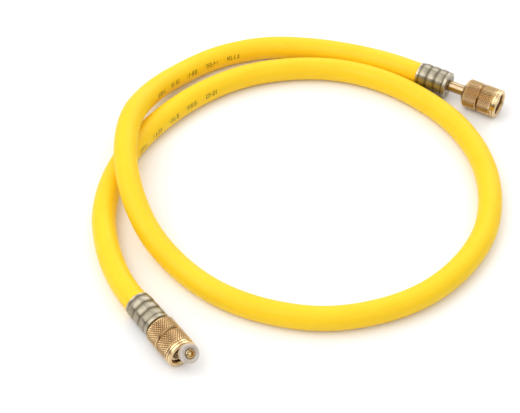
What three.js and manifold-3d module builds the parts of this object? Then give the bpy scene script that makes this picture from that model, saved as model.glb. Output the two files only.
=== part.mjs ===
// A refrigerant charging hose with a crimped fitting on each end.
// Millimetres, +Z up. The hose lies on the floor, z = 0, in about one and three quarter turns.
// End A is the bent end, whose nut is pushed back. End B is the straight end, whose nut is forward.
import * as THREE from "three";
import { mergeVertices } from "three/addons/utils/BufferGeometryUtils.js";
import Module from "manifold-3d";

const wasm = await Module();
wasm.setup();

// Gap that is left between pieces that touch on the real hose, and the weld distance of a mesh.
const FIT_GAP = 0.3;
const WELD_DISTANCE = 1e-4;

// How far a cutter or a joined bar runs past the surface that it meets.
const RUN_OUT = 0.6;

// Sides of a turned piece, and of a round hole or a bent tube.
const TURNED_SIDES = 32;
const TUBE_SIDES = 20;
const HOSE_SIDES = 12;

const HOSE_DIAMETER = 12.5;
const HOSE_BORE = 6.4;
const HOSE_STEPS = 60;

// Crimped ferrule: a wall outside the hose with swaged rings, and a flange round an end wall.
const FERRULE_GROOVE_WALL = 0.35;
const FERRULE_MOUTH_LENGTH = 1.5;
const FERRULE_RINGS = 3;
const FERRULE_RING_LENGTH = 4.9;
const FERRULE_RING_RISE = 0.45;
const FERRULE_RING_STEPS = 5;
const FERRULE_FLANGE_LENGTH = 2.2;
const FERRULE_FLANGE_RISE = 0.35;
const FERRULE_FLANGE_CHAMFER = 0.5;
const FERRULE_END_WALL = 1.6;
const FERRULE_LENGTH = FERRULE_MOUTH_LENGTH + FERRULE_RINGS * FERRULE_RING_LENGTH
  + FERRULE_FLANGE_LENGTH;

// Stem: a nipple inside the hose, a neck that carries the nut, a flange and a spigot for the gasket.
const STEM_DIAMETER = 6;
const STEM_BORE = 3;
const NIPPLE_SHRINK = 0.25;
const NIPPLE_START = 1.5;
const STEM_FLANGE_DIAMETER = 8.8;
const STEM_FLANGE_LENGTH = 1.4;
const SPIGOT_SHRINK = 0.1;
const SPIGOT_LENGTH = 3;
const SPIGOT_BORE = 4.8;
const SPIGOT_BORE_DEPTH = 2.4;

// Bend of stem A: it turns up by this angle, just inside the mouth of the nut.
const BEND_ANGLE = THREE.MathUtils.degToRad(45);
const BEND_RADIUS = 10;
const BEND_START_INSIDE_NUT = 5;
const TIP_LENGTH = 2.2;
const BEND_STEPS = 8;
const BAR_STEPS = 24;

// Gasket on the spigot, and the depressor pressed into the spigot of stem A.
const GASKET_DIAMETER = 9.6;
const GASKET_LENGTH = 3.2;
const GASKET_CHAMFER = 0.5;
const DEPRESSOR_LENGTH = 2.5;
const DEPRESSOR_FLOOR = 0.7;
const DEPRESSOR_FLOOR_RADIUS = 1.3;
const DEPRESSOR_PIN_RADIUS = 0.45;
const DEPRESSOR_PIN_LENGTH = 2.2;
const DEPRESSOR_RIM = 0.2;
const FLOW_HOLE_DIAMETER = 1.2;
const FLOW_HOLE_OFFSET = 1.15;

// Swivel nut: two knurled bands with a groove between them, a thin groove and a smooth rim.
const NUT_DIAMETER = 16;
const NUT_BACK_WALL = 4.5;
const NUT_BACK_CHAMFER = 1.5;
const NUT_BACK_BAND = 7.1;
const NUT_VEE_WIDTH = 1.8;
const NUT_VEE_DEPTH = 0.9;
const NUT_FRONT_BAND = 7.3;
const NUT_RIM_GROOVE = 0.6;
const NUT_RIM_GROOVE_DEPTH = 0.5;
const NUT_RIM_LENGTH = 2.5;
const NUT_RIM_CHAMFER = 0.7;
const THREAD_MINOR_DIAMETER = 9.95;
const NUT_MOUTH_DIAMETER = 12.4;
const NUT_MOUTH_DEPTH = 1.4;
const NUT_LENGTH = NUT_BACK_CHAMFER + NUT_BACK_BAND + NUT_VEE_WIDTH + NUT_FRONT_BAND
  + NUT_RIM_GROOVE + NUT_RIM_LENGTH;

// Stretch of bare stem between ferrule B and its nut.
const BARE_STEM_B = 10.2;

// Where the hose enters each ferrule, and the way its fitting points, turned about +Z.
const END_A = { x: -46.5, y: -102.2, heading: THREE.MathUtils.degToRad(-24) };
const END_B = { x: 0, y: 117.5, heading: 0 };

// Length of hose that stays straight outside a ferrule.
const STRAIGHT_HOSE = 6;

// Points that the hose follows from end A to end B: x, y and its lift in hose diameters.
const HOSE_ROUTE = [
  [-63.5, -92.8, 0.1],
  [-80, -78.5, 0.05],
  [-95.5, -58.5, 0.01],
  [-105.5, -34, 0],
  [-109, -7.5, 0],
  [-106.5, 19, 0],
  [-99, 44.5, 0],
  [-85.5, 68, 0],
  [-66, 86.5, 0],
  [-43, 99, 0],
  [-17, 104, 0],
  [9.5, 101.5, 0],
  [35, 92.5, 0],
  [56.5, 76.5, 0],
  [72.5, 54.5, 0],
  [81.5, 28.5, 0],
  [81.5, 2, 0],
  [73.5, -24.5, 0],
  [58, -46.5, 0],
  [37, -63.5, 0],
  [12.5, -73, 0],
  [-14, -76, 0.01],
  [-40, -71.5, 0.05],
  [-65, -61.5, 0.32],
  [-86.5, -45.5, 0.82],
  [-103, -25.5, 1.08],
  [-115, -1, 0.98],
  [-120, 25, 0.46],
  [-117, 51, 0.08],
  [-105.5, 75.5, 0.02],
  [-87, 95, 0.01],
  [-63.5, 107.5, 0.01],
  [-40, 114.5, 0.04],
  [-20, 117.3, 0.1],
];

const HOSE_RADIUS = HOSE_DIAMETER / 2;
const STEM_RADIUS = STEM_DIAMETER / 2;
const NUT_RADIUS = NUT_DIAMETER / 2;
const FERRULE_BORE_RADIUS = HOSE_RADIUS + FIT_GAP;
const HOSE_DEPTH_IN_FERRULE = FERRULE_LENGTH - FERRULE_END_WALL - FIT_GAP;
const NUT_A_BACK = FERRULE_LENGTH + FIT_GAP;
const NUT_B_BACK = FERRULE_LENGTH + BARE_STEM_B;
const STEM_A_STRAIGHT_END = NUT_A_BACK + NUT_LENGTH - BEND_START_INSIDE_NUT;
const STEM_B_FLANGE = NUT_B_BACK + NUT_BACK_WALL + FIT_GAP;
const SPIGOT_RADIUS = STEM_RADIUS - SPIGOT_SHRINK;
const SOCKET_FLOOR = STEM_FLANGE_LENGTH + SPIGOT_LENGTH - SPIGOT_BORE_DEPTH;

// The nuts rest on the floor, so both fittings lie level with their axes one nut radius up.
const FITTING_HEIGHT = NUT_RADIUS;

const rubber = { color: 0xf5cf1e, roughness: 0.55, metalness: 0 };
const brass = { color: 0xc9a557, roughness: 0.35, metalness: 1 };
const plated = { color: 0xb9b3a0, roughness: 0.35, metalness: 1 };
const copper = { color: 0xb07a55, roughness: 0.3, metalness: 1 };
const nylon = { color: 0xe4dccb, roughness: 0.5, metalness: 0 };

// A closed outline of [distance along the axis, radius] turned about local +X.
function turned(outline, sides = TURNED_SIDES) {
  const profile = [...outline, outline[0]].map(([along, radius]) => new THREE.Vector2(radius, along));
  const geometry = new THREE.LatheGeometry(profile, sides);
  geometry.rotateZ(-Math.PI / 2);
  return geometry;
}

function toSolid(geometry) {
  const welded = geometry.clone();
  welded.deleteAttribute("normal");
  welded.deleteAttribute("uv");
  const merged = mergeVertices(welded, WELD_DISTANCE);
  const vertProperties = new Float32Array(merged.attributes.position.array);
  const triVerts = new Uint32Array(merged.index.array);
  return new wasm.Manifold(new wasm.Mesh({ numProp: 3, vertProperties, triVerts }));
}

function fromSolid(solid) {
  const { vertProperties, triVerts } = solid.getMesh();
  const geometry = new THREE.BufferGeometry();
  geometry.setAttribute("position", new THREE.BufferAttribute(new Float32Array(vertProperties), 3));
  geometry.setIndex(new THREE.BufferAttribute(new Uint32Array(triVerts), 1));
  geometry.computeVertexNormals();
  return geometry;
}

function named(name, geometry, finish) {
  const mesh = new THREE.Mesh(geometry, new THREE.MeshStandardMaterial(finish));
  mesh.name = name;
  return mesh;
}

// A round section, with a round hole where an inner radius is given.
function ringShape(outerRadius, innerRadius, sides) {
  const corners = (radius) => Array.from({ length: sides }, (_, index) => {
    const angle = (2 * Math.PI * index) / sides;
    return new THREE.Vector2(radius * Math.cos(angle), radius * Math.sin(angle));
  });
  const shape = new THREE.Shape(corners(outerRadius));
  if (innerRadius > 0) {
    shape.holes.push(new THREE.Path(corners(innerRadius)));
  }
  return shape;
}

// A point on the axis of a fitting, a distance out from where the hose enters its ferrule.
function pointOnFitting(end, out) {
  return new THREE.Vector3(
    end.x + out * Math.cos(end.heading),
    end.y + out * Math.sin(end.heading),
    FITTING_HEIGHT,
  );
}

// The hose's straight end, from inside the ferrule back to where it starts to turn.
function straightEnd(end) {
  return [HOSE_DEPTH_IN_FERRULE, 0, -STRAIGHT_HOSE].map((out) => pointOnFitting(end, out));
}

function hose() {
  const height = (lift) => HOSE_RADIUS + lift * HOSE_DIAMETER;
  const loop = HOSE_ROUTE.map(([x, y, lift]) => new THREE.Vector3(x, y, height(lift)));
  const points = [...straightEnd(END_A), ...loop, ...straightEnd(END_B).reverse()];
  const extrudePath = new THREE.CatmullRomCurve3(points, false, "centripetal");
  const section = ringShape(HOSE_RADIUS, HOSE_BORE / 2, HOSE_SIDES);
  return named("hose", new THREE.ExtrudeGeometry(section, { steps: HOSE_STEPS, extrudePath }), rubber);
}

// The swaged rings lie between the ferrule's mouth and its flange, each a low rounded wave.
function ferrule(name) {
  const grooveRadius = FERRULE_BORE_RADIUS + FERRULE_GROOVE_WALL;
  const flangeRadius = grooveRadius + FERRULE_FLANGE_RISE;
  const flangeStart = FERRULE_LENGTH - FERRULE_FLANGE_LENGTH;
  const endWallStart = FERRULE_LENGTH - FERRULE_END_WALL;
  const rings = Array.from({ length: FERRULE_RINGS * FERRULE_RING_STEPS }, (_, index) => {
    const travelled = (index + 1) / FERRULE_RING_STEPS;
    const rise = FERRULE_RING_RISE * Math.abs(Math.sin(Math.PI * travelled));
    return [FERRULE_MOUTH_LENGTH + FERRULE_RING_LENGTH * travelled, grooveRadius + rise];
  });
  const outline = [
    [0, FERRULE_BORE_RADIUS],
    [0, grooveRadius],
    [FERRULE_MOUTH_LENGTH, grooveRadius],
    ...rings,
    [flangeStart + FERRULE_FLANGE_CHAMFER, flangeRadius],
    [FERRULE_LENGTH - FERRULE_FLANGE_CHAMFER, flangeRadius],
    [FERRULE_LENGTH, flangeRadius - FERRULE_FLANGE_CHAMFER],
    [FERRULE_LENGTH, STEM_RADIUS + FIT_GAP],
    [endWallStart, STEM_RADIUS + FIT_GAP],
    [endWallStart, FERRULE_BORE_RADIUS],
  ];
  return named(name, turned(outline), plated);
}

// The outside of a stem's straight part, from the nipple's start to the given distance.
function stemShank(end) {
  const nippleEnd = HOSE_DEPTH_IN_FERRULE;
  const nippleRadius = STEM_RADIUS - NIPPLE_SHRINK;
  return [
    [NIPPLE_START, nippleRadius],
    [nippleEnd, nippleRadius],
    [nippleEnd + FIT_GAP, STEM_RADIUS],
    [end, STEM_RADIUS],
  ];
}

// The outside of a stem's tip: the flange, the spigot and the socket in the spigot.
function stemTip(start) {
  const flangeEnd = start + STEM_FLANGE_LENGTH;
  const spigotEnd = flangeEnd + SPIGOT_LENGTH;
  return [
    [start, STEM_RADIUS],
    [start, STEM_FLANGE_DIAMETER / 2],
    [flangeEnd, STEM_FLANGE_DIAMETER / 2],
    [flangeEnd, SPIGOT_RADIUS],
    [spigotEnd, SPIGOT_RADIUS],
    [spigotEnd, SPIGOT_BORE / 2],
    [spigotEnd - SPIGOT_BORE_DEPTH, SPIGOT_BORE / 2],
    [spigotEnd - SPIGOT_BORE_DEPTH, STEM_BORE / 2],
  ];
}

function straightStem(name) {
  const boreStart = [NIPPLE_START, STEM_BORE / 2];
  const [, ...tip] = stemTip(STEM_B_FLANGE);
  return named(name, turned([boreStart, ...stemShank(STEM_B_FLANGE), ...tip]), copper);
}

// The way that the axis of stem A takes: straight, the bend upwards, then straight to the tip.
function bentAxis() {
  const centre = new THREE.Vector3(STEM_A_STRAIGHT_END, 0, BEND_RADIUS);
  const bend = Array.from({ length: BEND_STEPS + 1 }, (_, index) => {
    const angle = (BEND_ANGLE * index) / BEND_STEPS;
    return new THREE.Vector3(
      centre.x + BEND_RADIUS * Math.sin(angle),
      0,
      centre.z - BEND_RADIUS * Math.cos(angle),
    );
  });
  const bendEnd = bend[BEND_STEPS];
  const tip = bendEnd.clone().addScaledVector(tipDirection(), TIP_LENGTH);
  return { bend, tip };
}

function tipDirection() {
  return new THREE.Vector3(Math.cos(BEND_ANGLE), 0, Math.sin(BEND_ANGLE));
}

// Places geometry made along local +X so that it starts at the tip of stem A and points with it.
function ontoTip(geometry) {
  const { tip } = bentAxis();
  geometry.rotateY(-BEND_ANGLE);
  geometry.translate(tip.x, tip.y, tip.z);
  return geometry;
}

// A round bar along the bent part of stem A, longer than the bend by the overlap at both ends.
function bentBar(radius, overlap) {
  const { bend, tip } = bentAxis();
  const path = new THREE.CurvePath();
  const before = bend[0].clone().add(new THREE.Vector3(-overlap, 0, 0));
  const after = tip.clone().addScaledVector(tipDirection(), overlap);
  const stops = [before, ...bend, after];
  for (let index = 1; index < stops.length; index += 1) {
    path.add(new THREE.LineCurve3(stops[index - 1], stops[index]));
  }
  const section = ringShape(radius, 0, TUBE_SIDES);
  return new THREE.ExtrudeGeometry(section, { steps: BAR_STEPS, extrudePath: path });
}

// The bar and the bores start and end inside what they join or past what they cut.
function bentStem(name) {
  const straightEndOnAxis = [STEM_A_STRAIGHT_END, 0];
  const shank = turned([[NIPPLE_START, 0], ...stemShank(STEM_A_STRAIGHT_END), straightEndOnAxis]);
  const tip = ontoTip(turned([[0, 0], ...stemTip(0), [SOCKET_FLOOR, 0]]));
  const shankBore = turned([
    [NIPPLE_START - RUN_OUT, 0],
    [NIPPLE_START - RUN_OUT, STEM_BORE / 2],
    [STEM_A_STRAIGHT_END, STEM_BORE / 2],
    straightEndOnAxis,
  ], TUBE_SIDES);
  const bentBore = bentBar(STEM_BORE / 2, SOCKET_FLOOR + RUN_OUT);
  const solid = toSolid(shank)
    .add(toSolid(bentBar(STEM_RADIUS, RUN_OUT)))
    .add(toSolid(tip))
    .subtract(toSolid(shankBore))
    .subtract(toSolid(bentBore));
  return named(name, fromSolid(solid), copper);
}

// A gasket round a spigot, from the flange's face outwards, made along local +X from 0.
function gasketGeometry() {
  const outer = GASKET_DIAMETER / 2;
  const start = FIT_GAP;
  const end = start + GASKET_LENGTH;
  return turned([
    [start, SPIGOT_RADIUS + FIT_GAP],
    [start, outer],
    [end - GASKET_CHAMFER, outer],
    [end, outer - GASKET_CHAMFER],
    [end, SPIGOT_RADIUS + FIT_GAP],
  ]);
}

// The depressor: a cup with a pin in its middle and a flow hole beside the pin.
function depressorGeometry() {
  const outer = SPIGOT_BORE / 2 - FIT_GAP;
  const cup = toSolid(turned([
    [0, 0],
    [0, outer],
    [DEPRESSOR_LENGTH, outer],
    [DEPRESSOR_LENGTH, outer - DEPRESSOR_RIM],
    [DEPRESSOR_FLOOR, DEPRESSOR_FLOOR_RADIUS],
    [DEPRESSOR_FLOOR, DEPRESSOR_PIN_RADIUS],
    [DEPRESSOR_PIN_LENGTH, DEPRESSOR_PIN_RADIUS],
    [DEPRESSOR_PIN_LENGTH, 0],
  ]));
  const drill = toSolid(new THREE.CylinderGeometry(
    FLOW_HOLE_DIAMETER / 2,
    FLOW_HOLE_DIAMETER / 2,
    DEPRESSOR_LENGTH * 2 + RUN_OUT,
    TUBE_SIDES,
  ).rotateZ(-Math.PI / 2).translate(0, -FLOW_HOLE_OFFSET, 0));
  return fromSolid(cup.subtract(drill));
}

function nut(name) {
  const veeStart = NUT_BACK_CHAMFER + NUT_BACK_BAND;
  const veeEnd = veeStart + NUT_VEE_WIDTH;
  const grooveStart = veeEnd + NUT_FRONT_BAND;
  const grooveEnd = grooveStart + NUT_RIM_GROOVE;
  const boreRadius = THREAD_MINOR_DIAMETER / 2;
  const holeRadius = STEM_RADIUS + FIT_GAP;
  const outline = [
    [0, holeRadius],
    [0, NUT_RADIUS - NUT_BACK_CHAMFER],
    [NUT_BACK_CHAMFER, NUT_RADIUS],
    [veeStart, NUT_RADIUS],
    [(veeStart + veeEnd) / 2, NUT_RADIUS - NUT_VEE_DEPTH],
    [veeEnd, NUT_RADIUS],
    [grooveStart, NUT_RADIUS],
    [grooveStart, NUT_RADIUS - NUT_RIM_GROOVE_DEPTH],
    [grooveEnd, NUT_RADIUS - NUT_RIM_GROOVE_DEPTH],
    [grooveEnd, NUT_RADIUS],
    [NUT_LENGTH - NUT_RIM_CHAMFER, NUT_RADIUS],
    [NUT_LENGTH, NUT_RADIUS - NUT_RIM_CHAMFER],
    [NUT_LENGTH, NUT_MOUTH_DIAMETER / 2],
    [NUT_LENGTH - NUT_MOUTH_DEPTH, boreRadius],
    [NUT_BACK_WALL, boreRadius],
    [NUT_BACK_WALL, holeRadius],
  ];
  return named(name, turned(outline), brass);
}

// A group whose local +X is the axis of a fitting and whose origin is where the hose enters it.
function fittingGroup(end) {
  const group = new THREE.Group();
  group.position.copy(pointOnFitting(end, 0));
  group.rotation.z = end.heading;
  return group;
}

function endA() {
  const group = fittingGroup(END_A);
  const nutA = nut("nut_a");
  nutA.position.x = NUT_A_BACK;
  const gasket = gasketGeometry().translate(STEM_FLANGE_LENGTH, 0, 0);
  const depressor = depressorGeometry().translate(SOCKET_FLOOR + FIT_GAP, 0, 0);
  group.add(
    ferrule("ferrule_a"),
    bentStem("stem_a"),
    named("gasket_a", ontoTip(gasket), nylon),
    named("depressor", ontoTip(depressor), brass),
    nutA,
  );
  return group;
}

function endB() {
  const group = fittingGroup(END_B);
  const nutB = nut("nut_b");
  nutB.position.x = NUT_B_BACK;
  const gasket = gasketGeometry().translate(STEM_B_FLANGE + STEM_FLANGE_LENGTH, 0, 0);
  group.add(
    ferrule("ferrule_b"),
    straightStem("stem_b"),
    named("gasket_b", gasket, nylon),
    nutB,
  );
  return group;
}

const chargingHose = new THREE.Group();
chargingHose.name = "refrigerant_charging_hose";
chargingHose.add(hose(), endA(), endB());

export default chargingHose;
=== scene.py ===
"""Studio scene of a refrigerant charging hose, dressed over its CAD frame.

The hose lies on the floor in about one and three quarter turns. End A is the bent end,
whose nut is pushed back against the ferrule. End B is the straight end. Every length in
a sizes class is in millimetres, as on the maker's drawing, and is turned into metres
where a mesh is made.
"""

import logging
import math
from collections.abc import Callable
from dataclasses import dataclass
from enum import Enum

import bmesh
import bpy
from mathutils import Matrix, Vector


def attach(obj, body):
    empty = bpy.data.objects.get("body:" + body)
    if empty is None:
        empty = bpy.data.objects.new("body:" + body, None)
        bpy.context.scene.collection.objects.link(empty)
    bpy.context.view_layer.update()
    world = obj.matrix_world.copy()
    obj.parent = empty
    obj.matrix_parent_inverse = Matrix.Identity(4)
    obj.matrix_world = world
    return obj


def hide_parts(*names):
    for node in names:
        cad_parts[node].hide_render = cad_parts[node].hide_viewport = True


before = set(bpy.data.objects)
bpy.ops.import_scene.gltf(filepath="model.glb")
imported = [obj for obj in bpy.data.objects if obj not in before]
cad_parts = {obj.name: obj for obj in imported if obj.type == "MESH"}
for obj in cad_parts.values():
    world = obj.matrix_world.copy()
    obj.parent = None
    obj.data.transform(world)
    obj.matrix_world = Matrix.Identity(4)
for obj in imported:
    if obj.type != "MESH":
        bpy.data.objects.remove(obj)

LOG = logging.getLogger("charging_hose")
MM = 0.001
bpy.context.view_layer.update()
SAME_PLACE = 1e-6
TOOL_MARK_DEPTH = 0.00002
MIX_COLOUR_INPUTS = (0, 6, 7)
UP = Vector((0.0, 0.0, 1.0))

Socket = bpy.types.NodeSocket
Piece = bpy.types.Object
Material = bpy.types.Material
Ring = list[bmesh.types.BMVert]
Colour = tuple[float, float, float, float]
Span = tuple[float, float]
Triple = tuple[float, float, float]


def reach(place: Vector) -> float:
    """Returns how far a point on the lathe is from the axis."""
    return math.hypot(place.x, place.y)


def sector(place: Vector, sides: int) -> int:
    """Returns which side of a turned piece a point on the lathe is nearest to."""
    return round(math.atan2(place.y, place.x) / math.tau * sides)


def quarter(steps: int) -> list[float]:
    """Returns evenly spaced angles of a quarter turn, with both ends, in radians."""
    return [math.pi / 2.0 * step / steps for step in range(steps + 1)]


class Body(str, Enum):
    """The rigid bodies that pieces ride on."""

    HOSE = "hose_assembly"
    NUT_A = "nut_a"
    NUT_B = "nut_b"


class Slot(str, Enum):
    """The record's material slots."""

    RUBBER = "yellow_rubber"
    PLATED = "plated_steel"
    STEM = "stem_brass"
    NYLON = "white_nylon"
    DEPRESSOR = "depressor_brass"
    KNURLED = "knurled_brass"


@dataclass(frozen=True)
class Station:
    """One ring of a turned outline.

    Args:
        along: Distance along the axis, in millimetres.
        radius: Radius of the ring, in millimetres.
    """

    along: float
    radius: float


@dataclass(frozen=True)
class FittingPlace:
    """Where a fitting sits.

    Args:
        x: Where the hose enters the ferrule, in millimetres.
        y: The same point's other floor coordinate, in millimetres.
        heading: The way that the fitting points, turned about +Z, in degrees.
        height: Height of its axis over the floor, in millimetres.
    """

    x: float
    y: float
    heading: float
    height: float

    def direction(self) -> Vector:
        """Returns the unit vector out along the fitting."""
        turn = math.radians(self.heading)
        return Vector((math.cos(turn), math.sin(turn), 0.0))

    def point(self, out: float) -> Vector:
        """Finds a point on the fitting's axis.

        Args:
            out: Distance out from where the hose enters, in millimetres.

        Returns:
            The point, in millimetres.
        """
        return Vector((self.x, self.y, self.height)) + self.direction() * out

    def matrix(self, out: float = 0.0) -> Matrix:
        """Makes the placing matrix of a piece turned about local Z.

        Args:
            out: Distance out from where the hose enters, in millimetres.

        Returns:
            A matrix that puts local +Z along the fitting and local +X upwards.
        """
        forward = self.direction()
        side = forward.cross(UP)
        turn = Matrix((UP, side, forward)).transposed().to_4x4()
        return Matrix.Translation(self.point(out) * MM) @ turn


@dataclass(frozen=True)
class HoseSizes:
    """Sizes of the hose, in millimetres."""

    diameter: float = 12.5
    bore: float = 6.4
    straight: float = 6.0
    depth_in_ferrule: float = 16.5
    sides: int = 48


@dataclass(frozen=True)
class FerruleSizes:
    """Sizes of a crimped ferrule, in millimetres."""

    length: float = 18.4
    bore_radius: float = 6.55
    groove_wall: float = 0.35
    mouth_length: float = 1.5
    rings: int = 3
    ring_length: float = 4.9
    ring_rise: float = 0.45
    flange_length: float = 2.2
    flange_rise: float = 0.35
    flange_chamfer: float = 0.5
    flange_foot: float = 0.15
    end_wall: float = 1.6
    end_dish: float = 0.2
    bore_edge: float = 0.3
    edge: float = 0.1
    ring_sharpness: float = 0.75
    ring_steps: int = 12
    round_steps: int = 4
    jaws: int = 8
    sides: int = 96


@dataclass(frozen=True)
class StemSizes:
    """Sizes of a stem, in millimetres."""

    radius: float = 3.0
    bore_radius: float = 1.5
    nipple_start: float = 1.5
    nipple_radius: float = 2.75
    flange_radius: float = 4.4
    flange_length: float = 1.4
    spigot_radius: float = 2.9
    spigot_length: float = 3.0
    spigot_bore_radius: float = 2.4
    spigot_bore_depth: float = 2.4
    bend_angle: float = 45.0
    bend_radius: float = 10.0
    bend_start_inside_nut: float = 5.0
    tip_length: float = 2.2
    barbs: int = 5
    barb_rise: float = 0.25
    fillet: float = 0.25
    edge: float = 0.15
    overlap: float = 0.3
    bend_steps: int = 14
    sides: int = 48


@dataclass(frozen=True)
class SealSizes:
    """Sizes of a gasket and of the depressor, in millimetres."""

    gasket_radius: float = 4.8
    gasket_length: float = 3.2
    gasket_round: float = 0.5
    gasket_fit: float = 0.08
    cup_length: float = 2.5
    cup_floor: float = 0.7
    cup_rim: float = 0.2
    cup_floor_radius: float = 1.3
    pin_radius: float = 0.45
    pin_length: float = 2.2
    flow_hole_radius: float = 0.6
    flow_hole_offset: float = 1.15
    gasket_edge: float = 0.2
    gasket_lip: float = 0.12
    gasket_round_steps: int = 6
    gasket_sides: int = 64
    cup_edge: float = 0.08
    cup_foot: float = 0.1
    pin_edge: float = 0.15
    pole: float = 0.001
    cup_sides: int = 48
    drill_sides: int = 24


@dataclass(frozen=True)
class NutSizes:
    """Sizes of a knurled swivel nut, in millimetres."""

    radius: float = 8.0
    back_wall: float = 4.5
    back_chamfer: float = 1.5
    back_band: float = 7.1
    vee_width: float = 1.8
    vee_depth: float = 0.9
    front_band: float = 7.3
    rim_groove: float = 0.6
    rim_groove_depth: float = 0.5
    second_groove: float = 0.95
    second_groove_width: float = 0.28
    second_groove_depth: float = 0.36
    rim_length: float = 2.5
    rim_chamfer: float = 0.7
    mouth_radius: float = 6.2
    mouth_depth: float = 1.4
    hole_radius: float = 3.3
    thread_minor_radius: float = 4.975
    thread_major_radius: float = 5.556
    thread_pitch: float = 1.27
    thread_root: float = 0.08
    thread_foot: float = 0.94
    thread_crest: float = 0.16
    thread_start: float = 1.3
    thread_run_out: float = 0.2
    thread_steps: int = 48
    edge: float = 0.1
    vee_floor: float = 0.12
    hole_edge: float = 0.2
    knurl_pitch: float = 1.8
    knurl_depth: float = 0.42
    knurl_flat: float = 0.15
    knurl_end: float = 0.2
    slack: float = 0.01
    skin: float = 0.02
    sides: int = 76

    def length(self) -> float:
        """Returns the whole length of the nut."""
        bands = self.back_chamfer + self.back_band + self.vee_width
        return bands + self.front_band + self.rim_groove + self.rim_length


FIT_GAP = 0.3
BARE_STEM_B = 10.2
NUT_SIZES = NutSizes()
FERRULE_SIZES = FerruleSizes()
STEM_SIZES = StemSizes()
SEAL_SIZES = SealSizes()
HOSE_SIZES = HoseSizes()
PLACE_A = FittingPlace(x=-46.5, y=-102.2, heading=-24.0, height=NUT_SIZES.radius)
PLACE_B = FittingPlace(x=0.0, y=117.5, heading=0.0, height=NUT_SIZES.radius)

# Points that the hose follows from end A to end B, in metres, and its lift in diameters.
HOSE_ROUTE: tuple[Triple, ...] = (
    (-0.0635, -0.0928, 0.10),
    (-0.0800, -0.0785, 0.05),
    (-0.0955, -0.0585, 0.01),
    (-0.1055, -0.0340, 0.00),
    (-0.1090, -0.0075, 0.00),
    (-0.1065, 0.0190, 0.00),
    (-0.0990, 0.0445, 0.00),
    (-0.0855, 0.0680, 0.00),
    (-0.0660, 0.0865, 0.00),
    (-0.0430, 0.0990, 0.00),
    (-0.0170, 0.1040, 0.00),
    (0.0095, 0.1015, 0.00),
    (0.0350, 0.0925, 0.00),
    (0.0565, 0.0765, 0.00),
    (0.0725, 0.0545, 0.00),
    (0.0815, 0.0285, 0.00),
    (0.0815, 0.0020, 0.00),
    (0.0735, -0.0245, 0.00),
    (0.0580, -0.0465, 0.00),
    (0.0370, -0.0635, 0.00),
    (0.0125, -0.0730, 0.00),
    (-0.0140, -0.0760, 0.01),
    (-0.0400, -0.0715, 0.05),
    (-0.0650, -0.0615, 0.32),
    (-0.0865, -0.0455, 0.82),
    (-0.1030, -0.0255, 1.08),
    (-0.1150, -0.0010, 0.98),
    (-0.1200, 0.0250, 0.46),
    (-0.1170, 0.0510, 0.08),
    (-0.1055, 0.0755, 0.02),
    (-0.0870, 0.0950, 0.01),
    (-0.0635, 0.1075, 0.01),
    (-0.0400, 0.1145, 0.04),
    (-0.0200, 0.1173, 0.10),
)

# Distance along the hose, in metres, and the print line's turn from the top, in degrees.
PRINT_TURNS: tuple[Span, ...] = (
    (0.0, 88.0),
    (0.14, 82.0),
    (0.195, 70.0),
    (0.74, 80.0),
    (0.80, 68.0),
    (0.95, 72.0),
)


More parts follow.
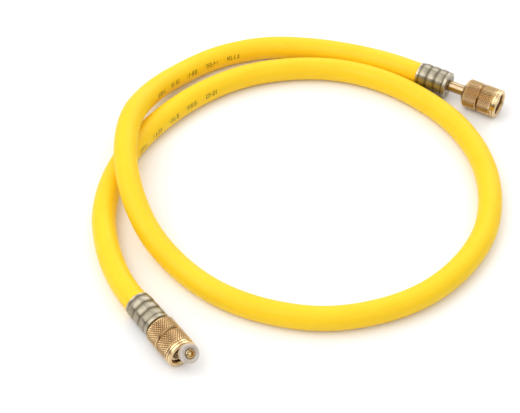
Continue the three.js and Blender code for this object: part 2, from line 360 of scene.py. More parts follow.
@dataclass
class NodeDesk:
    """Adds and joins the nodes of one tree.

    Args:
        tree: The node tree that is worked on.
    """

    tree: bpy.types.NodeTree

    def add(self, kind: str, **settings: object) -> bpy.types.Node:
        """Adds a node.

        Args:
            kind: The node's type name.
            **settings: Properties of the node, by name.

        Returns:
            The new node.
        """
        node = self.tree.nodes.new(kind)
        for name, value in settings.items():
            setattr(node, name, value)
        return node

    def feed(self, target: Socket, value: object) -> None:
        """Joins a socket to an input, or sets the input to a value.

        Args:
            target: The input.
            value: A socket, a number, a vector or a colour.
        """
        if isinstance(value, Socket):
            self.tree.links.new(value, target)
        else:
            target.default_value = value

    def maths(self, operation: str, *values: Socket | float) -> Socket:
        """Adds a Math node.

        Args:
            operation: The node's operation.
            *values: Its sockets or numbers, in order.

        Returns:
            The node's output.
        """
        node = self.add("ShaderNodeMath", operation=operation)
        for target, value in zip(node.inputs, values):
            self.feed(target, value)
        return node.outputs[0]

    def times(self, first: Socket, *others: Socket | float) -> Socket:
        """Multiplies values.

        Args:
            first: The first value.
            *others: The values that it is multiplied by.

        Returns:
            The product's socket.
        """
        for value in others:
            first = self.maths("MULTIPLY", first, value)
        return first

    def split(self, vector: Socket) -> tuple[Socket, Socket, Socket]:
        """Splits a vector or a colour into its three parts.

        Args:
            vector: The vector's socket.

        Returns:
            The sockets of the parts.
        """
        node = self.add("ShaderNodeSeparateXYZ")
        self.feed(node.inputs[0], vector)
        return node.outputs["X"], node.outputs["Y"], node.outputs["Z"]

    def blend(self, factor: Socket | float, low: Socket | Colour, high: Socket | Colour) -> Socket:
        """Mixes two colours.

        Args:
            factor: A value from 0 to 1.
            low: The colour where the factor is 0.
            high: The colour where the factor is 1.

        Returns:
            The mixed colour's socket.
        """
        node = self.add("ShaderNodeMix", data_type="RGBA")
        for index, value in zip(MIX_COLOUR_INPUTS, (factor, low, high)):
            self.feed(node.inputs[index], value)
        return node.outputs[2]

    def stretch(self, value: Socket, span: Span, to: Span = (0.0, 1.0)) -> Socket:
        """Maps a value from one span to another, held at both ends.

        Args:
            value: The value's socket.
            span: The lowest and highest value that comes in.
            to: What they become.

        Returns:
            The mapped value's socket.
        """
        node = self.add("ShaderNodeMapRange", clamp=True)
        self.feed(node.inputs["Value"], value)
        for name, number in zip(("From Min", "From Max", "To Min", "To Max"), (*span, *to)):
            node.inputs[name].default_value = number
        return node.outputs["Result"]

    def noise(
        self, place: Socket, scale: Socket | float, detail: float = 2.0, roughness: float = 0.5
    ) -> Socket:
        """Adds a noise texture.

        Args:
            place: The coordinates that it reads.
            scale: Its scale.
            detail: How many finer layers it has.
            roughness: How strong they are.

        Returns:
            The noise's value.
        """
        node = self.add("ShaderNodeTexNoise")
        inputs = {"Vector": place, "Scale": scale, "Detail": detail, "Roughness": roughness}
        for name, value in inputs.items():
            self.feed(node.inputs[name], value)
        return node.outputs[0]


class SharedEffects:
    """Shader node groups that more than one finish uses, each built once."""

    def __init__(self) -> None:
        """Builds every group."""
        self.film = self._handling_film()
        self.wear = self._edge_wear()
        self.marks = self._turning_marks()

    @staticmethod
    def _group(
        name: str, vector: str, number: str, value: float, output: str
    ) -> tuple[NodeDesk, Socket, Socket, Socket]:
        """Makes an empty group with a vector, a number and one output.

        Args:
            name: The group's name.
            vector: The name of its vector input.
            number: The name of its number input.
            value: That number where nothing is joined to it.
            output: The name of its output.

        Returns:
            The desk, and the sockets of the vector, the number and the output.
        """
        tree = bpy.data.node_groups.new(name, "ShaderNodeTree")
        faces = tree.interface
        faces.new_socket(vector, in_out="INPUT", socket_type="NodeSocketVector")
        size = faces.new_socket(number, in_out="INPUT", socket_type="NodeSocketFloat")
        size.default_value = value
        faces.new_socket(output, in_out="OUTPUT", socket_type="NodeSocketFloat")
        desk = NodeDesk(tree)
        inner, outer = desk.add("NodeGroupInput"), desk.add("NodeGroupOutput")
        return desk, inner.outputs[vector], inner.outputs[number], outer.inputs[output]

    def _handling_film(self) -> bpy.types.NodeTree:
        """Builds the film of handling: soft patches broken up by finer ones.

        Returns:
            The group, whose Mask runs from 0 to 1.
        """
        desk, place, scale, mask = self._group("handling_film", "Vector", "Scale", 60.0, "Mask")
        broad = desk.noise(place, scale, detail=4.0, roughness=0.6)
        fine = desk.noise(place, desk.times(scale, 7.0))
        mixed = desk.times(broad, desk.maths("ADD", fine, 0.5))
        desk.feed(mask, desk.stretch(mixed, (0.32, 0.68)))
        return desk.tree

    def _edge_wear(self) -> bpy.types.NodeTree:
        """Builds the mask of worn edges, from how sharply the surface bends outwards.

        Returns:
            The group, whose Mask is 1 on an edge and 0 on a flat or in a groove.
        """
        desk, place, reach, mask = self._group("edge_wear", "Vector", "Reach", 0.06, "Mask")
        surface = desk.add("ShaderNodeNewGeometry")
        bend = desk.maths("SUBTRACT", surface.outputs["Pointiness"], 0.5)
        chips = desk.maths("ADD", desk.noise(place, 900.0), 0.5)
        ragged = desk.times(desk.maths("DIVIDE", bend, reach), chips)
        desk.feed(mask, desk.stretch(ragged, (0.1, 0.9)))
        return desk.tree

    def _turning_marks(self) -> bpy.types.NodeTree:
        """Builds the fine rings that a lathe tool leaves round a piece.

        Returns:
            The group, whose Height goes to a Bump node.
        """
        desk, place, pitch, height = self._group("turning_marks", "Bench", "Pitch", 0.12, "Height")
        across, beside, along = desk.split(place)
        squares = desk.maths("ADD", desk.times(across, across), desk.times(beside, beside))
        travel = desk.maths("ADD", along, desk.maths("SQRT", squares))
        rings = desk.maths("SINE", desk.maths("DIVIDE", desk.times(travel, math.tau), pitch))
        ragged = desk.add("ShaderNodeTexNoise", noise_dimensions="1D")
        desk.feed(ragged.inputs["Scale"], 9.0)
        desk.feed(ragged.inputs["W"], travel)
        desk.feed(height, desk.times(rings, ragged.outputs[0]))
        return desk.tree

    @staticmethod
    def place(desk: NodeDesk, group: bpy.types.NodeTree, vector: Socket, value: float) -> Socket:
        """Puts a group in a material.

        Args:
            desk: The material's desk.
            group: The shared group.
            vector: What its first input reads.
            value: What its second input is set to.

        Returns:
            The group's output.
        """
        node = desk.add("ShaderNodeGroup", node_tree=group)
        desk.feed(node.inputs[0], vector)
        desk.feed(node.inputs[1], value)
        return node.outputs[0]


@dataclass(frozen=True)
class Bench:
    """The nodes that every finish starts from.

    Args:
        material: The material.
        desk: Its desk.
        shader: Its Principled shader.
        place: Object coordinates, in metres.
        local: The piece's own coordinates on the lathe, in millimetres.
    """

    material: Material
    desk: NodeDesk
    shader: bpy.types.Node
    place: Socket
    local: Socket

    @classmethod
    def start(cls, name: str) -> "Bench":
        """Makes a material with its shader and coordinates.

        Args:
            name: The material's name.

        Returns:
            The bench.
        """
        material = bpy.data.materials.new(name)
        material.use_nodes = True
        desk = NodeDesk(material.node_tree)
        shader = next(node for node in desk.tree.nodes if node.type == "BSDF_PRINCIPLED")
        coordinates = desk.add("ShaderNodeTexCoord")
        lathe = desk.add("ShaderNodeAttribute", attribute_name="bench")
        place, local = coordinates.outputs["Object"], lathe.outputs["Vector"]
        return cls(material, desk, shader, place, local)

    def show(self, inputs: dict[str, object]) -> None:
        """Joins or sets inputs of the shader.

        Args:
            inputs: A socket or a value for each input, by its name.
        """
        for name, value in inputs.items():
            self.desk.feed(self.shader.inputs[name], value)

    def soften(self, weight: float, radius: Triple, scale: float) -> None:
        """Lets light into the material.

        Args:
            weight: How much of the light goes in.
            radius: How far each colour goes.
            scale: What the radius is counted in, in metres.
        """
        self.show({
            "Subsurface Weight": weight,
            "Subsurface Radius": radius,
            "Subsurface Scale": scale,
        })

    def bump(
        self, height: Socket, strength: float, distance: float, under: Socket | None = None
    ) -> Socket:
        """Adds a Bump node and joins it to the shader.

        Args:
            height: The height's socket.
            strength: The bump's strength.
            distance: The bump's depth, in metres.
            under: The normal of a bump underneath, if there is one.

        Returns:
            The bumped normal's socket.
        """
        node = self.desk.add("ShaderNodeBump")
        inputs = {"Strength": strength, "Distance": distance, "Height": height}
        if under is not None:
            inputs["Normal"] = under
        for name, value in inputs.items():
            self.desk.feed(node.inputs[name], value)
        self.show({"Normal": node.outputs["Normal"]})
        return node.outputs["Normal"]


@dataclass(frozen=True)
class YellowRubber:
    """The smooth yellow cover of the hose, with its printed line of plain stroke marks.

    Args:
        base: The clean colour.
        deep: The colour where handling has dulled it.
        ink: The ink's colour.
        gloss: Lowest and highest roughness.
        mark_pitch: Distance between marks, in metres.
        mark_height: Height of a mark, in metres.
        slant: How far a mark leans for its height.
        group_pitch: Distance between groups of marks, in metres.
        group_share: Share of that distance that has marks.
        legend_start: Where the first printed stretch starts, in metres along the hose.
        legend_length: Length of a printed stretch, in metres.
        legend_pitch: Distance between printed stretches, in metres.
        post: Centre and half width of the stroke that every mark has, on its width.
        second_post: The same of the second upright stroke.
        bars: Centre and half width of both crossing strokes, on a mark's height.
        bar_width: Centre and half width of what they cover of a mark's width.
        missing: Shares of the marks without the second post and without each bar.
        film_scale: Scale of the handling film.
        film_share: How much of the deep colour the film shows.
    """

    base: Colour = (0.95, 0.63, 0.012, 1.0)
    deep: Colour = (0.94, 0.56, 0.008, 1.0)
    ink: Colour = (0.17, 0.12, 0.008, 1.0)
    gloss: Span = (0.42, 0.56)
    mark_pitch: float = 0.0023
    mark_height: float = 0.0027
    slant: float = 0.35
    group_pitch: float = 0.0145
    group_share: float = 0.56
    legend_start: float = 0.127
    legend_length: float = 0.0745
    legend_pitch: float = 0.624
    post: Span = (0.2, 0.12)
    second_post: Span = (0.68, 0.12)
    bars: tuple[Span, Span] = ((0.9, 0.1), (0.48, 0.09))
    bar_width: Span = (0.44, 0.34)
    missing: Triple = (0.35, 0.45, 0.4)
    film_scale: float = 45.0
    film_share: float = 0.45

    @staticmethod
    def _stroke(desk: NodeDesk, value: Socket, spot: Span) -> Socket:
        """Draws one stroke of a mark.

        Args:
            desk: The material's desk.
            value: The coordinate that the stroke crosses.
            spot: The stroke's centre on that coordinate, and half of its width.

        Returns:
            A mask that is 1 on the stroke.
        """
        centre, half = spot
        off = desk.maths("ABSOLUTE", desk.maths("SUBTRACT", value, centre))
        return desk.maths("LESS_THAN", off, half)

    def _strokes(self, desk: NodeDesk, count: Socket, tall: Socket) -> Socket:
        """Draws the strokes of every mark: a post, and others that only some marks have.

        Args:
            desk: The material's desk.
            count: The marks counted along the hose.
            tall: Place on a mark's height, from 0 to 1.

        Returns:
            A mask that is 1 on a stroke.
        """
        wide = desk.maths("FRACT", count)
        pick = desk.add("ShaderNodeTexWhiteNoise", noise_dimensions="1D")
        desk.feed(pick.inputs["W"], desk.maths("FLOOR", count))
        chances = desk.split(pick.outputs["Color"])
        top_bar, middle_bar = self.bars
        spots = ((wide, self.second_post), (tall, top_bar), (tall, middle_bar))
        second, top, bar = (
            desk.times(self._stroke(desk, *spot), desk.maths("GREATER_THAN", chance, missing))
            for spot, chance, missing in zip(spots, chances, self.missing)
        )
        covered = self._stroke(desk, wide, self.bar_width)
        crossing = desk.times(desk.maths("MAXIMUM", top, bar), covered)
        posts = desk.maths("MAXIMUM", self._stroke(desk, wide, self.post), second)
        return desk.maths("MAXIMUM", posts, crossing)

    def _ink_mask(self, bench: Bench, around: Socket, along: Socket) -> Socket:
        """Draws groups of plain stroke marks along the hose.

        Args:
            bench: The material's bench.
            around: Share of the way round the hose.
            along: Distance along the hose, in metres.

        Returns:
            A mask that is 1 on ink.
        """
        desk = bench.desk
        girth = math.pi * HOSE_SIZES.diameter * MM
        off_line = desk.times(desk.maths("SUBTRACT", around, 0.5), girth)
        tall = desk.maths("ADD", desk.maths("DIVIDE", off_line, self.mark_height), 0.5)
        in_band = self._stroke(desk, tall, (0.5, 0.5))
        slanted = desk.maths("ADD", along, desk.times(off_line, self.slant))
        strokes = self._strokes(desk, desk.maths("DIVIDE", slanted, self.mark_pitch), tall)
        group = desk.maths("FRACT", desk.maths("DIVIDE", along, self.group_pitch))
        on_group = desk.maths("LESS_THAN", group, self.group_share)
        printed = desk.maths("SUBTRACT", along, self.legend_start)
        legend = desk.maths("FRACT", desk.maths("DIVIDE", printed, self.legend_pitch))
        on_legend = desk.maths("LESS_THAN", legend, self.legend_length / self.legend_pitch)
        kept = desk.stretch(desk.noise(bench.place, 700.0), (0.30, 0.46), (0.25, 0.9))
        return desk.times(in_band, strokes, on_group, on_legend, kept)

    def material(self, effects: SharedEffects) -> Material:
        """Builds the material.

        Args:
            effects: The shared effects.

        Returns:
            The material.
        """
        bench = Bench.start("yellow_rubber")
        desk = bench.desk
        film = effects.place(desk, effects.film, bench.place, self.film_scale)
        tone = desk.blend(desk.times(film, self.film_share), self.base, self.deep)
        wrap = desk.add("ShaderNodeUVMap", uv_map="wrap")
        around, along, _ = desk.split(wrap.outputs[0])
        bench.show({
            "Base Color": desk.blend(self._ink_mask(bench, around, along), tone, self.ink),
            "Roughness": desk.stretch(film, (0.0, 1.0), self.gloss),
            "Specular IOR Level": 0.3,
        })
        bench.soften(0.12, (1.0, 0.6, 0.1), 0.002)
        pulled = desk.add("ShaderNodeMapping")
        desk.feed(pulled.inputs["Scale"], (38.0, 22.0, 1.0))
        desk.feed(pulled.inputs["Vector"], wrap.outputs[0])
        drawn = bench.bump(desk.noise(pulled.outputs[0], 4.0, detail=3.0), 0.25, 0.00012)
        bench.bump(desk.noise(bench.place, 2600.0), 0.12, 0.00004, drawn)
        return bench.material


@dataclass(frozen=True)
class WorkedMetal:
    """A turned or drawn metal: brass or plated steel, with painted shade in its hollows and inner
    corners.

    Args:
        name: The material's name.
        base: Its clean colour.
        tarnish_and_shade: Its colour where it has dulled with tarnish, and the painted shade in
            grooves, hollows and inner corners.
        bright: Its colour on worn edges.
        gloss: Its lowest and highest roughness.
        ring_pitch: Distance between the lathe's rings, in millimetres.
        ring_depth: Strength of those rings.
        tarnish_and_shade_depths: How deep a hollow is where its painted shade starts, and where
            that shade is full.
        film_scale: Scale of the handling film.
        film_share: How much of the dark colour the film shows, as tarnished patches.
        edge_reach: How sharply an edge has to bend before it is worn bright.
        corner: How sharply an inner corner bends where its painted shade is fullest, and where it
            has none.
        corner_share: How dark the painted shade in the sharpest inner corner is.
    """

    name: str
    base: Colour
    tarnish_and_shade: Colour
    bright: Colour
    gloss: Span
    ring_pitch: float = 0.16
    ring_depth: float = 0.25
    tarnish_and_shade_depths: Span = (0.3, 0.9)
    film_scale: float = 160.0
    film_share: float = 0.35
    edge_reach: float = 0.07
    corner: Span = (0.40, 0.49)
    corner_share: float = 0.8

    def material(self, effects: SharedEffects) -> Material:
        """Builds the material.

        Args:
            effects: The shared effects.

        Returns:
            The material.
        """
        bench = Bench.start(self.name)
        desk = bench.desk
        film = effects.place(desk, effects.film, bench.place, self.film_scale)
        edge = effects.place(desk, effects.wear, bench.place, self.edge_reach)
        # Painted shade: inner corners, and hollows by their depth, are darkened towards the dark
        # colour; the handling film mixes in real tarnished patches.
        surface = desk.add("ShaderNodeNewGeometry")
        bend = surface.outputs["Pointiness"]
        corner = desk.stretch(bend, self.corner, (self.corner_share, 0.0))
        deep = desk.add("ShaderNodeAttribute", attribute_name="hollow")
        hollow = desk.maths("MAXIMUM", corner, desk.stretch(deep.outputs["Fac"], self.tarnish_and_shade_depths))
        dulled = desk.maths("MAXIMUM", hollow, desk.times(film, self.film_share))
        tone = desk.blend(dulled, self.base, self.tarnish_and_shade)
        bench.show({
            "Metallic": 1.0,
            "Base Color": desk.blend(edge, tone, self.bright),
            "Roughness": desk.stretch(film, (0.0, 1.0), self.gloss),
        })
        marks = effects.place(desk, effects.marks, bench.local, self.ring_pitch)
        bench.bump(marks, self.ring_depth, TOOL_MARK_DEPTH)
        return bench.material


@dataclass(frozen=True)
class MilkyNylon:
    """The milky white nylon of the gaskets.

    Args:
        base: The clean colour.
        aged: The colour where it has yellowed.
        gloss: Lowest and highest roughness.
        film_scale: Scale of the patches that have yellowed.
        ring_pitch: Distance between the lathe's rings, in millimetres.
    """

    base: Colour = (0.58, 0.53, 0.48, 1.0)
    aged: Colour = (0.46, 0.40, 0.34, 1.0)
    gloss: Span = (0.28, 0.42)
    film_scale: float = 220.0
    ring_pitch: float = 0.3

    def material(self, effects: SharedEffects) -> Material:
        """Builds the material.

        Args:
            effects: The shared effects.

        Returns:
            The material.
        """
        bench = Bench.start("white_nylon")
        desk = bench.desk
        film = effects.place(desk, effects.film, bench.place, self.film_scale)
        bench.show({
            "Base Color": desk.blend(film, self.base, self.aged),
            "Roughness": desk.stretch(film, (0.0, 1.0), self.gloss),
        })
        bench.soften(0.6, (1.0, 0.9, 0.75), 0.0018)
        marks = effects.place(desk, effects.marks, bench.local, self.ring_pitch)
        bench.bump(marks, 0.1, TOOL_MARK_DEPTH)
        return bench.material


class Lathe:
    """Turns closed outlines into meshes about local Z, with Blender's own operators."""

    @staticmethod
    def clear() -> None:
        """Deselects everything."""
        if bpy.context.mode != "OBJECT":
            bpy.ops.object.mode_set(mode="OBJECT")
        bpy.ops.object.select_all(action="DESELECT")

    @classmethod
    def take(cls, piece: Piece, *others: Piece) -> None:
        """Selects pieces, and nothing else.

        Args:
            piece: The piece that becomes the active one.
            *others: The other pieces.
        """
        cls.clear()
        for part in (piece, *others):
            part.select_set(True)
        bpy.context.view_layer.objects.active = piece

    @staticmethod
    def squeeze(ratio: float) -> None:
        """Moves the selected vertices towards the axis, or away from it.

        Args:
            ratio: Their new distance from the axis for their old one.
        """
        bpy.ops.transform.resize(value=(ratio, ratio, 1.0), center_override=(0.0, 0.0, 0.0))

    @staticmethod
    def close() -> None:
        """Joins the vertices of the edited mesh that meet, and turns its faces outwards."""
        bpy.ops.mesh.select_all(action="SELECT")
        bpy.ops.mesh.remove_doubles(threshold=SAME_PLACE)
        bpy.ops.mesh.normals_make_consistent(inside=False)
        bpy.ops.mesh.select_all(action="DESELECT")
        bpy.ops.object.mode_set(mode="OBJECT")

    @classmethod
    def turn(cls, name: str, outline: list[Station], sides: int) -> Piece:
        """Turns an outline that closes on itself.

        Args:
            name: The piece's name.
            outline: The stations in order, without repeating the first.
            sides: How many sides each ring has.

        Returns:
            The object, still in object mode, with its axis along local Z.
        """
        cls.clear()
        first = outline[0]
        bpy.ops.mesh.primitive_circle_add(
            vertices=sides, radius=first.radius * MM, location=(0.0, 0.0, first.along * MM)
        )
        piece = bpy.context.object
        piece.name = name
        bpy.ops.object.transform_apply(location=True, rotation=True, scale=True)
        bpy.ops.object.mode_set(mode="EDIT")
        bpy.ops.mesh.select_mode(type="VERT")
        bpy.ops.mesh.select_all(action="SELECT")
        for before, after in zip(outline, [*outline[1:], first]):
            step = (0.0, 0.0, (after.along - before.along) * MM)
            bpy.ops.mesh.extrude_edges_move(TRANSFORM_OT_translate={"value": step})
            if after.radius != before.radius:
                cls.squeeze(after.radius / before.radius)
        cls.close()
        return piece

    @staticmethod
    def pick(piece: Piece, wanted: Callable[[Vector], bool]) -> None:
        """Selects vertices of a piece in edit mode by their place.

        Args:
            piece: The piece, in edit mode.
            wanted: Takes a vertex's place in millimetres and says whether it is picked.
        """
        mesh = bmesh.from_edit_mesh(piece.data)
        for vertex in mesh.verts:
            vertex.select = bool(wanted(vertex.co / MM))
        mesh.select_mode = {"VERT"}
        mesh.select_flush_mode()
        bmesh.update_edit_mesh(piece.data)

    @classmethod
    def fit(
        cls,
        piece: Piece,
        place: Matrix,
        smooth: float = 32.0,
        hollow: Callable[[Vector], float] = lambda _: 0.0,
    ) -> None:
        """Shades a piece, notes its points as they lie on the lathe and puts it in its place.

        Args:
            piece: The piece, in object mode.
            place: The placing matrix.
            smooth: Edges under this angle are shaded smooth, in degrees.
            hollow: Takes a point in millimetres and says how deep in a hollow it is, from 0 to 1,
                which the metals use for painted shade.
        """
        cls.take(piece)
        bpy.ops.object.shade_smooth_by_angle(angle=math.radians(smooth))
        points = [vertex.co / MM for vertex in piece.data.vertices]
        bench = piece.data.attributes.new("bench", "FLOAT_VECTOR", "POINT")
        bench.data.foreach_set("vector", [part for point in points for part in point])
        depth = piece.data.attributes.new("hollow", "FLOAT", "POINT")
        depth.data.foreach_set("value", [min(max(hollow(point), 0.0), 1.0) for point in points])
        piece.matrix_world = place
        bpy.ops.object.transform_apply(location=True, rotation=True, scale=True)


def dress(piece: Piece, material: Material, body: Body, node: str) -> None:
    """Gives a piece its finish and its place in the frame.

    Args:
        piece: The finished piece.
        material: Its material.
        body: The body that it rides on.
        node: The CAD node that it stands for.
    """
    piece.data.materials.clear()
    piece.data.materials.append(material)
    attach(piece, body.value)
    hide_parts(node)
    LOG.info("%s: %d faces, rides on %s", piece.name, len(piece.data.polygons), body.value)


@dataclass
class Hose:
    """The hose itself, a tube swept along its route.

    Args:
        sizes: The hose's sizes.
        step: Distance between its rings, in metres.
        stretch_points: How many points the curve has between two knots.
        smooth: Edges under this angle are shaded smooth, in degrees.
    """

    sizes: HoseSizes = HOSE_SIZES
    step: float = 0.0024
    stretch_points: int = 24
    smooth: float = 60.0

    def knots(self) -> list[Vector]:
        """Returns the points that the hose passes through, in metres."""
        radius = self.sizes.diameter * MM / 2.0
        outs = (self.sizes.depth_in_ferrule, 0.0, -self.sizes.straight)
        start = [PLACE_A.point(out) * MM for out in outs]
        end = [PLACE_B.point(out) * MM for out in reversed(outs)]
        loop = [Vector((x, y, radius + lift * 2.0 * radius)) for x, y, lift in HOSE_ROUTE]
        return [*start, *loop, *end]

    @staticmethod
    def _tangents(
        before: Vector, start: Vector, end: Vector, after: Vector
    ) -> tuple[Vector, Vector]:
        """Finds the end tangents of one stretch of a centripetal Catmull-Rom curve.

        Args:
            before: The knot before the stretch.
            start: The stretch's first knot.
            end: Its last knot.
            after: The knot after the stretch.

        Returns:
            The tangents at both ends, scaled to the stretch.
        """
        first = math.sqrt((start - before).length)
        middle = math.sqrt((end - start).length)
        last = math.sqrt((after - end).length)
        chord = (end - start) / middle
        leave = (start - before) / first - (end - before) / (first + middle) + chord
        arrive = chord - (after - start) / (middle + last) + (after - end) / last
        return leave * middle, arrive * middle

    def curve(self) -> list[Vector]:
        """Samples the route finely.

        Returns:
            Points along the whole route, in metres.
        """
        knots = self.knots()
        samples: list[Vector] = []
        for index in range(len(knots) - 1):
            start, end = knots[index], knots[index + 1]
            before = knots[index - 1] if index else start * 2.0 - end
            after = knots[index + 2] if index + 2 < len(knots) else end * 2.0 - start
            leave, arrive = self._tangents(before, start, end, after)
            for point in range(self.stretch_points):
                share = point / self.stretch_points
                square, cube = share * share, share * share * share
                samples.append(
                    start * (2.0 * cube - 3.0 * square + 1.0)
                    + leave * (cube - 2.0 * square + share)
                    + end * (3.0 * square - 2.0 * cube)
                    + arrive * (cube - square)
                )
        return [*samples, knots[-1]]

    def centres(self) -> list[Vector]:
        """Spaces the ring centres evenly along the route.

        Returns:
            The ring centres, in metres.
        """
        samples = self.curve()
        travelled = [0.0]
        for before, after in zip(samples, samples[1:]):
            travelled.append(travelled[-1] + (after - before).length)
        count = round(travelled[-1] / self.step)
        rings: list[Vector] = []
        index = 0
        for ring in range(count + 1):
            target = travelled[-1] * ring / count
            while index < len(travelled) - 2 and travelled[index + 1] < target:
                index += 1
            share = (target - travelled[index]) / (travelled[index + 1] - travelled[index])
            rings.append(samples[index].lerp(samples[index + 1], share))
        return rings

    @staticmethod
    def _print_turn(travelled: float) -> float:
        """Finds how far the print line is turned from the top of the hose.

        Args:
            travelled: Distance from the start of the hose, in metres.

        Returns:
            The turn towards the loop's inside, in radians.
        """
        for (start, low), (end, high) in zip(PRINT_TURNS, PRINT_TURNS[1:]):
            if travelled <= end:
                share = (travelled - start) / (end - start)
                eased = share * share * (3.0 - 2.0 * share)
                return math.radians(low + (high - low) * eased)
        return math.radians(PRINT_TURNS[-1][1])

    def build(self, material: Material, fittings: list[Piece]) -> Piece:
        """Args:
            material: The rubber.
            fittings: The pieces on its far end; not used.

        Returns:
            The hose.
        """
        centres = self.centres()
        length = sum((after - before).length for before, after in zip(centres, centres[1:]))
        mesh = bpy.data.meshes.new("yellow_hose")
        shell = bmesh.new()
        wrap = shell.loops.layers.uv.new("wrap")
        radii = (self.sizes.diameter / 2.0, self.sizes.bore / 2.0)
        walls = [self._wall(shell, centres, radius * MM) for radius in radii]
        for wall, outward in zip(walls, (True, False)):
            self._skin(shell, wrap, wall, length, outward)
        for ring, flip in ((0, True), (-1, False)):
            self._end_face(shell, walls[0][ring], walls[1][ring], flip)
        bmesh.ops.recalc_face_normals(shell, faces=shell.faces)
        shell.to_mesh(mesh)
        shell.free()
        hose = bpy.data.objects.new("yellow_hose", mesh)
        bpy.context.scene.collection.objects.link(hose)
        Lathe.take(hose)
        bpy.ops.object.shade_smooth_by_angle(angle=math.radians(self.smooth))
        dress(hose, material, Body.HOSE, "hose")
        return hose

    def _wall(self, shell: bmesh.types.BMesh, centres: list[Vector], radius: float) -> list[Ring]:
        """Adds the rings of one wall.

        Args:
            shell: The mesh that is made.
            centres: The ring centres.
            radius: The wall's radius, in metres.

        Returns:
            The rings' vertices.
        """
        rings: list[Ring] = []
        travelled = 0.0
        for index, centre in enumerate(centres):
            before = centres[max(index - 1, 0)]
            after = centres[min(index + 1, len(centres) - 1)]
            forward = (after - before).normalized()
            travelled += (centre - before).length if index else 0.0
            inward = forward.cross(UP).normalized()
            upward = inward.cross(forward).normalized()
            turn = self._print_turn(travelled)
            ring = []
            for side in range(self.sizes.sides):
                angle = turn + math.tau * (side / self.sizes.sides - 0.5)
                offset = upward * math.cos(angle) + inward * math.sin(angle)
                ring.append(shell.verts.new(centre + offset * radius))
            rings.append(ring)
        return rings

    def _skin(
        self,
        shell: bmesh.types.BMesh,
        wrap: object,
        rings: list[Ring],
        length: float,
        outward: bool,
    ) -> None:
        """Adds the faces between rings, with their wrap.

        Args:
            shell: The mesh that is made.
            wrap: Its UV layer.
            rings: The rings' vertices.
            length: The hose's length, in metres.
            outward: True for the outer wall.
        """
        last = len(rings) - 1
        sides = self.sizes.sides
        for index, (near, far) in enumerate(zip(rings, rings[1:])):
            low, high = length * index / last, length * (index + 1) / last
            for side in range(sides):
                beside = (side + 1) % sides
                corners = [near[side], near[beside], far[beside], far[side]]
                left, right = side / sides, (side + 1) / sides
                spots = [(left, low), (right, low), (right, high), (left, high)]
                if not outward:
                    corners.reverse()
                    spots.reverse()
                face = shell.faces.new(corners)
                for loop, spot in zip(face.loops, spots):
                    loop[wrap].uv = spot

    def _end_face(self, shell: bmesh.types.BMesh, outer: Ring, inner: Ring, flip: bool) -> None:
        """Closes the cut end between the outer wall and the bore.

        Args:
            shell: The mesh that is made.
            outer: The outer ring.
            inner: The bore's ring.
            flip: True at the start of the hose.
        """
        for side in range(self.sizes.sides):
            beside = (side + 1) % self.sizes.sides
            corners = [outer[side], outer[beside], inner[beside], inner[side]]
            if flip:
                corners.reverse()
            shell.faces.new(corners)


